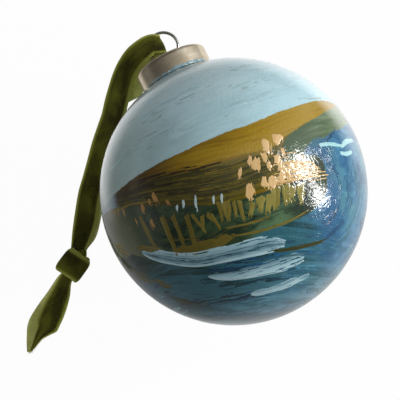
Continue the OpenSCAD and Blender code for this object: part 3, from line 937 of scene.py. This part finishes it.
def make_ribbon():
    """The loop through the eye, the knot and both tails, as one cloth."""
    cloth = Ribbon(19)
    into_knot = crease(0.09, 0.0, 0.75, 2.2, 0.6)
    out_of_knot = crease(0.93, 1.0, 0.5, 2, 2)

    def loop_cup(u, s):
        upper = np.clip((0.46 - s) / 0.1, 0, 1)
        gather = math.exp(-(((s - 0.47) / 0.07) ** 2))
        lift = upper * (0.35 - 0.75 * u**2 - 0.25 * u**3) + 0.15 * gather * np.cos(1.1 * math.pi * u)
        return lift + into_knot(u, s) + out_of_knot(u, s)

    def knot_cup(u, s):
        return 0.12 - 0.75 * u**4 + 0.12 * math.sin(9 * s) * u

    cloth.along(UPPER_RUN + FOLD + LOWER_RUN, loop_cup)
    # The knot's outer turn, the turn under it, and a corner of the inner fold
    turn = math.radians(KNOT_TURN)
    axis = np.array([math.cos(turn), math.sin(turn), 0])
    wide, up = np.array([math.sin(turn), -math.cos(turn), 0]), np.array([0, 0, 1.0])
    for scale, half, tip in ((1.0, 5.3, 0.0), (0.86, 5.6, 0.5)):
        angle = np.radians(np.linspace(-112, 258, 120))
        power = 2 / 2.7
        x, z = (np.sign(f) * np.abs(f) ** power for f in (np.cos(angle), np.sin(angle)))
        sag = np.radians(3 * np.sin(angle * 2 + tip))
        middle = KNOT_AT + scale * (5.35 * x[:, None] * wide + 3.35 * z[:, None] * up)
        middle = middle + axis * (sag * 4 + tip)[:, None]
        across = np.tile(-axis, (len(angle), 1))
        cloth.strip(middle, across, np.full(len(angle), half), knot_cup)
    cloth.along(INNER_FOLD, lambda u, s: -0.5 * u**2)
    tail_fold = crease(0.35, 0.0, 0.6, 1.7, 0.4)

    def upper_cup(u, s):
        return 0.3 - 0.6 * u**2 * (1 - 0.6 * s) + tail_fold(u, s) + 0.2 * s * np.sin(5 * u + 3)

    def lower_cup(u, s):
        return 0.1 * np.cos(3 * u) + 0.5 * tail_fold(u, s)

    ends = [cloth.along(TAIL_UPPER, upper_cup, True), cloth.along(TAIL_LOWER, lower_cup)]
    for (middle, across, half), side in zip(ends, (1, -1)):
        for k in np.linspace(len(middle) * 0.72, len(middle) - 1, 26).astype(int):
            start = middle[k] + across[k] * half[k] * side * 0.96
            way = across[k] * side * 0.8 + (middle[-1] - middle[-3]) * 1.2
            cloth.thread(start, way / np.linalg.norm(way), cloth.rng.uniform(0.25, 0.8))
        tip = middle[-1] - middle[-4]
        for _ in range(8):
            way = tip + cloth.rng.normal(0, 0.35, 3)
            start = middle[-1] - tip * cloth.rng.random()
            cloth.thread(start, way / np.linalg.norm(way), cloth.rng.uniform(0.5, 1.5))

    # Nothing dips into the floor
    points = np.vstack(cloth.points)
    points[:, 2] = np.maximum(points[:, 2], FLOOR_Z / MM + 0.02)
    cloths = [velvet_pile(), woven_back("ribbon_back", srgb(190, 192, 96), srgb(234, 236, 154)),
              woven_back("ribbon_selvedge", srgb(164, 168, 84), srgb(206, 210, 130))]
    marks = zip(("along", "across"), np.vstack(cloth.marks).T)
    piece = mesh_piece("velvet_ribbon", points * MM, cloth.faces, cloths, cloth.kinds, marks)
    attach(piece, "ribbon")
    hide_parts("ribbon_loop", "ribbon_knot", "ribbon_tail_upper", "ribbon_tail_lower")


def velvet_pile():
    """Short dense pile: dark olive, brighter where it is brushed aside, with a painted sheen towards one edge
    and along both edges, and painted shade near the knot.
    """
    n = Nodes("velvet_pile")
    along, across = n.marks("along", "across")
    brushed = n.noise(n.combine(along * 0.07, across * 0.16), 1.0, 2, 0.5, 0.4)
    tufts = n.noise(n.place(), 2400, 2, 0.6)
    # Painted sheen: across * 0.02 makes the pile lighter towards one edge
    colour = n.over(srgb(46, 43, 16), srgb(106, 108, 34), across * 0.02 + (brushed - 0.5), -0.16, 0.36)
    # Painted shade: the loop's first 52 mm from the knot, where it lies on the table, is darkened
    colour = n.over(colour, srgb(40, 38, 14), along, 52, 8, 0.55)
    colour = n.over(colour, srgb(112, 116, 44), tufts, 0.4, 0.75, 0.3)
    # Painted sheen: a lighter band along both edges of the pile
    rim = n.step(abs(across + (tufts - 0.5) * 0.9), 3.3, 4.7)
    colour = n.mix(rim * 0.95, colour, srgb(152, 156, 70))
    n.bump(tufts + brushed * 2.0, 0.5, 0.00015)
    return n.set(Base_Color=colour, Roughness=0.95, Specular_IOR_Level=0.1,
                 Sheen_Weight=1.0, Sheen_Roughness=0.3, Sheen_Tint=srgb(150, 156, 70))


def woven_back(name, low, high):
    """The plain woven side of the ribbon: fine crossing threads, lighter than the pile."""
    n = Nodes(name)
    along, across = n.marks("along", "across")
    weave = n.math("SINE", across * 17.0) * n.math("SINE", along * 14.0)
    height = weave * 0.5 + n.noise(n.place(), 900, 3, 0.6)
    colour = n.over(low, high, height, 0.1, 0.95)
    colour = n.over(colour, srgb(132, 134, 56), n.noise(n.place(), 90, 2, 0.5), 0.42, 0.62, 0.4)
    n.bump(height, 0.5, 0.00012)
    return n.set(Base_Color=colour, Roughness=0.75, Specular_IOR_Level=0.25,
                 Sheen_Weight=0.35, Sheen_Roughness=0.4, Sheen_Tint=srgb(190, 196, 120))


# ---------------------------------------------------------------- cap, wire and glass
def brushed_cap():
    """Satin nickel with a warm cast: fine lines run round the cap, over soft patches of tarnish."""
    n = Nodes("satin_nickel")
    unit = from_centre(n)
    lines = n.noise(unit, (1.5, 160, 1.5), 3, 0.6)
    tarnish = n.noise(unit, 5, 4, 0.65, 0.6)
    colour = n.over(srgb(206, 191, 164), srgb(236, 225, 204), tarnish, 0.35, 0.7)
    colour = n.over(colour, srgb(170, 152, 124), lines, 0.5, 0.75, 0.35)
    rough = n.step(lines * 0.5 + tarnish * 0.5, 0.3, 0.7, 0.26, 0.4)
    n.bump(lines, 0.35, 0.00006)
    return n.set(Base_Color=colour, Metallic=1.0, Roughness=rough)


def hanger_steel():
    """Drawn steel wire with faint spots."""
    n = Nodes("hanger_steel")
    drawn = n.noise(n.place(), 900, 3, 0.6)
    spots = n.noise(n.place(), 260, 2, 0.5)
    colour = n.over(srgb(176, 172, 160), srgb(214, 212, 204), spots, 0.4, 0.7)
    n.bump(drawn, 0.2, 0.00004)
    return n.set(Base_Color=colour, Metallic=1.0, Roughness=n.step(drawn, 0.3, 0.7, 0.18, 0.32))


WIRE_R, EYE_R = 0.6, 5.85  # mm
BEAD_R = 13.75  # mm, the inner edge of the bead of paint round the cap


def make_hanger():
    """The sprung wire, smooth and round: a leg, the eye and the other leg."""
    arm = [(10.4, -23.0), (10.9, -18.4), (3.9, -10.6), (3.5, -7.2), (3.5, -5.2), (5.22, -2.67)]
    leg = [np.array(arm[0])]
    for a, b, c in zip(arm, arm[1:], arm[2:]):
        a, b, c = np.array(a), np.array(b), np.array(c)
        for t in np.linspace(0, 1, 6, endpoint=False):
            leg.append((1 - t) ** 2 * (a + b) / 2 + 2 * t * (1 - t) * b + t**2 * (b + c) / 2)
    turn = np.radians(np.arange(-25, 206, 5))
    eye = EYE_R * np.stack([np.cos(turn), np.sin(turn)], 1)
    leg = np.array(leg)
    flat = np.vstack([leg, eye, leg[::-1] * [-1, 1]])
    curve = bpy.data.curves.new("hanger", "CURVE")
    curve.dimensions, curve.bevel_depth = "3D", WIRE_R * MM
    curve.bevel_resolution, curve.use_fill_caps = 5, True
    spline = curve.splines.new("POLY")
    spline.points.add(len(flat) - 1)
    for spot, (x, y) in zip(spline.points, flat):
        spot.co = (x * MM, y * MM, 0, 1)
    spline.use_smooth = True
    draft = bpy.data.objects.new("hanger_draft", curve)
    bpy.context.collection.objects.link(draft)
    shown = draft.evaluated_get(bpy.context.evaluated_depsgraph_get())
    mesh = bpy.data.meshes.new_from_object(shown)
    bpy.data.objects.remove(draft)
    mesh.materials.clear()
    mesh.materials.append(hanger_steel())
    mesh.polygons.foreach_set("use_smooth", np.ones(len(mesh.polygons), bool))
    piece = bpy.data.objects.new("drawn_hanger", mesh)
    bpy.context.collection.objects.link(piece)
    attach(piece, "hanger")
    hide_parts("hanger_wire")


def paint_on_cap():
    """Sky blue that ran over the cap's lower rim: a ragged line of touches, each a low film on the metal."""
    rng = np.random.default_rng(77)
    low = cap_low[1] + SLIVER
    points, faces, tints = [], [], []
    for centre in np.concatenate([np.arange(-46, 78, 3.2), np.arange(110, 320, 14)]):
        span = rng.uniform(4, 11)
        tall = rng.uniform(0.5, 1.5) * (1.0 if -30 < centre < 60 else 0.5)
        if rng.random() < 0.12:
            continue
        base, columns = len(points), 7
        tint = rng.uniform(0.3, 0.9)
        arch = np.sin(np.linspace(0.35, math.pi - 0.35, columns)) ** 0.5
        tops = tall * (0.6 + 0.4 * rng.random(columns)) * arch
        for row, (share, high) in enumerate(((0.0, -0.02), (0.06, 0.05), (0.7, 0.05), (1.0, -0.02))):
            for k in range(columns):
                angle = math.radians(centre + span * (k / (columns - 1) - 0.5))
                lift = -0.02 if k in (0, columns - 1) else high
                r = CAP_R + lift * MM
                points.append((r * math.sin(angle), low + (share * tops[k]) * MM, r * math.cos(angle)))
                tints.append(tint + 0.1 * rng.normal())
        faces += grid(4, columns, base)
    paint = pigment("overrun_pigment", [
        (0.2, srgb(108, 146, 162)), (0.6, srgb(150, 184, 194)), (0.95, srgb(206, 220, 220))], 0.4)
    piece = mesh_piece("paint_on_cap", points, faces, [paint], marks=[("tint", tints)])
    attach(piece, "cap")


def paint_bead():
    """Where the sky meets the cap, the paint dried as a low uneven bead on the ball."""
    rng = np.random.default_rng(12)
    turns, rows = 180, 7
    angles = np.radians(np.arange(turns) * 2)
    wave = sum(rng.uniform(0.05, 0.16) * np.sin(k * angles + rng.uniform(0, 6)) for k in (3, 7, 11, 17, 26))
    points = []
    for i in range(turns):
        angle = math.radians(i * 2)
        reach = 15.3 + 0.9 * wave[i]
        for k in range(rows):
            share = k / (rows - 1)
            r = BEAD_R + (reach - BEAD_R) * share
            ground = CENTRE[1] / MM + math.sqrt((R / MM) ** 2 - r * r)
            high = (0.36 + 0.1 * wave[i]) * (1 - share) ** 1.4 * (1 if r > 14 else 0.9) - 0.02 * share
            points.append((r * math.sin(angle) * MM, (ground + high) * MM, r * math.cos(angle) * MM))
    faces = grid(turns, rows, closed=True)
    paint = pigment("bead_pigment", [
        (0.2, srgb(120, 156, 170)), (0.6, srgb(160, 192, 200)), (0.95, srgb(206, 222, 222))], 0.5)
    piece = mesh_piece("paint_bead", points, faces, [paint], marks=[("tint", np.repeat(0.55 + wave, rows))])
    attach(piece, "ball")


def clear_glass():
    """Blown glass with a faint unevenness."""
    n = Nodes("clear_glass")
    seeds = n.noise(n.place(), 400, 2, 0.5)
    n.bump(seeds, 0.05, 0.0001)
    return n.set(Base_Color=(0.97, 0.99, 0.98, 1), Roughness=n.step(seeds, 0.3, 0.7, 0.0, 0.03),
                 Transmission_Weight=1.0, IOR=1.5)


make_camera()
skin = painted_ball()
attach(skin, "ball")
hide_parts("paint_coat")
sky_brushwork()
hill_brushwork()
reeds()
flowers()
pale_grasses()
foam()
aqua_glints()
water_brushwork()
paint_on_cap()
paint_bead()
make_hanger()
for node, material in (("cap", brushed_cap()), ("glass_ball", clear_glass())):
    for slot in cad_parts[node].material_slots:
        slot.material = material


# ---------------------------------------------------------------- light and floor
AMBIENT = 0.32


def make_world():
    """A plain studio: even light, and for reflections a few soft upright panels beyond the cap, brightest on
    the right."""
    n = Nodes("studio", world=True)
    bpy.context.scene.world = n.owner
    x, y, z = n.split(n.out(n.add("TexCoord"), "Generated"))
    panels = n.ramp(x * 0.5 + 0.5, [(at, (level, level, level, 1)) for at, level in (
        (0.0, 0.3), (0.05, 0.1), (0.12, 0.08), (0.24, 0.16), (0.38, 0.25),
        (0.52, 0.42), (0.66, 0.54), (0.8, 0.66), (0.9, 0.74), (1.0, 0.85))])
    wall = n.step(y, -0.25, 0.1) * n.step(y, 0.2, 0.5, 1.0, 0.5) * panels
    wall = wall * n.math("MAXIMUM", n.step(z, 0.3, 0.7, 1.0, 0.3), n.step(y, 0.3, 0.42, 1.0, 0.0))
    glow = n.step(z, 0.0, 0.3, 1.0, 0.0) * n.step(y, -0.9, 0.0, 0.08, 0.3)
    seen = n.math("MAXIMUM", wall + 0.02, glow)
    share = n.add("Mix", n.out(n.add("LightPath"), "Is Glossy Ray"))
    n.feed(share.inputs[2], n.step(x, 0.2, -0.8, AMBIENT, AMBIENT + 0.18))
    n.feed(share.inputs[3], seen)
    n.set(Color=(1, 1, 1, 1), Strength=n.out(share))


def make_floor():
    """The pale surface that the ornament lies on."""
    half, z = 3.0, FLOOR_Z - SLIVER
    n = Nodes("pale_floor")
    n.set(Base_Color=(0.82, 0.82, 0.82, 1), Roughness=0.8)
    # Seen in reflections it glows, a painted pool of light: bright round the ball, most of all on the right,
    # and falling away into a dim room
    where = n.place()
    x, y, _ = n.split(where)
    reach = n.out(n.add("VectorMath", where, (0, -0.05, 0), operation="DISTANCE"), "Value")
    painted_light_pool = n.step(reach, 0.2, 0.09) * n.step(y, -0.13, 0.0, 0.45, 0.95) * n.step(x, 0.05, 0.15, 1, 2.5)
    # Painted shade: beside the ribbon, where the ball shades the table, the glow is cut to a quarter
    painted_light_pool = painted_light_pool * n.math("MAXIMUM", n.step(x, -0.065, -0.03, 0.25, 1), n.step(y, -0.034, -0.008, 0.25, 1))
    painted_light_pool = painted_light_pool + n.step(x, 0.12, 0.28, 0, 0.55) * n.step(y, 0.0, 0.07)
    path = n.add("LightPath")
    camera, glossy = n.out(path, "Is Camera Ray"), n.out(path, "Is Glossy Ray")
    glow = n.add("Emission")
    n.feed(glow.inputs["Strength"], camera + glossy * (painted_light_pool + 0.12))
    both = n.add("MixShader", camera * 0.97 + glossy, n.out(n.shader), n.out(glow))
    n.feed(n.tree.nodes["Material Output"].inputs["Surface"], n.out(both))
    floor = mesh_piece("floor", [(-half, -half, z), (half, -half, z), (half, half, z), (-half, half, z)],
                       [(0, 1, 2, 3)], [n.owner])


def make_light(name, toward, distance, size, power):
    """A rectangular lamp that shines at the ball from a direction, given from the ball's centre."""
    data = bpy.data.lights.new(name, "AREA")
    data.shape, data.size, data.size_y = "RECTANGLE", size[0], size[1]
    data.energy = power
    lamp = bpy.data.objects.new(name, data)
    way = Vector(toward).normalized()
    lamp.location = Vector(CENTRE) + way * distance
    lamp.rotation_mode = "QUATERNION"
    lamp.rotation_quaternion = way.to_track_quat("Z", "Y")
    bpy.context.collection.objects.link(lamp)


make_world()
make_floor()
make_ribbon()
make_light("key_high", (0.87, -0.18, 0.46), 0.7, (0.22, 0.19), 3.5)
make_light("key_low", (0.84, -0.51, 0.20), 0.7, (0.11, 0.19), 2.0)
bpy.context.scene.view_settings.view_transform = "Standard"
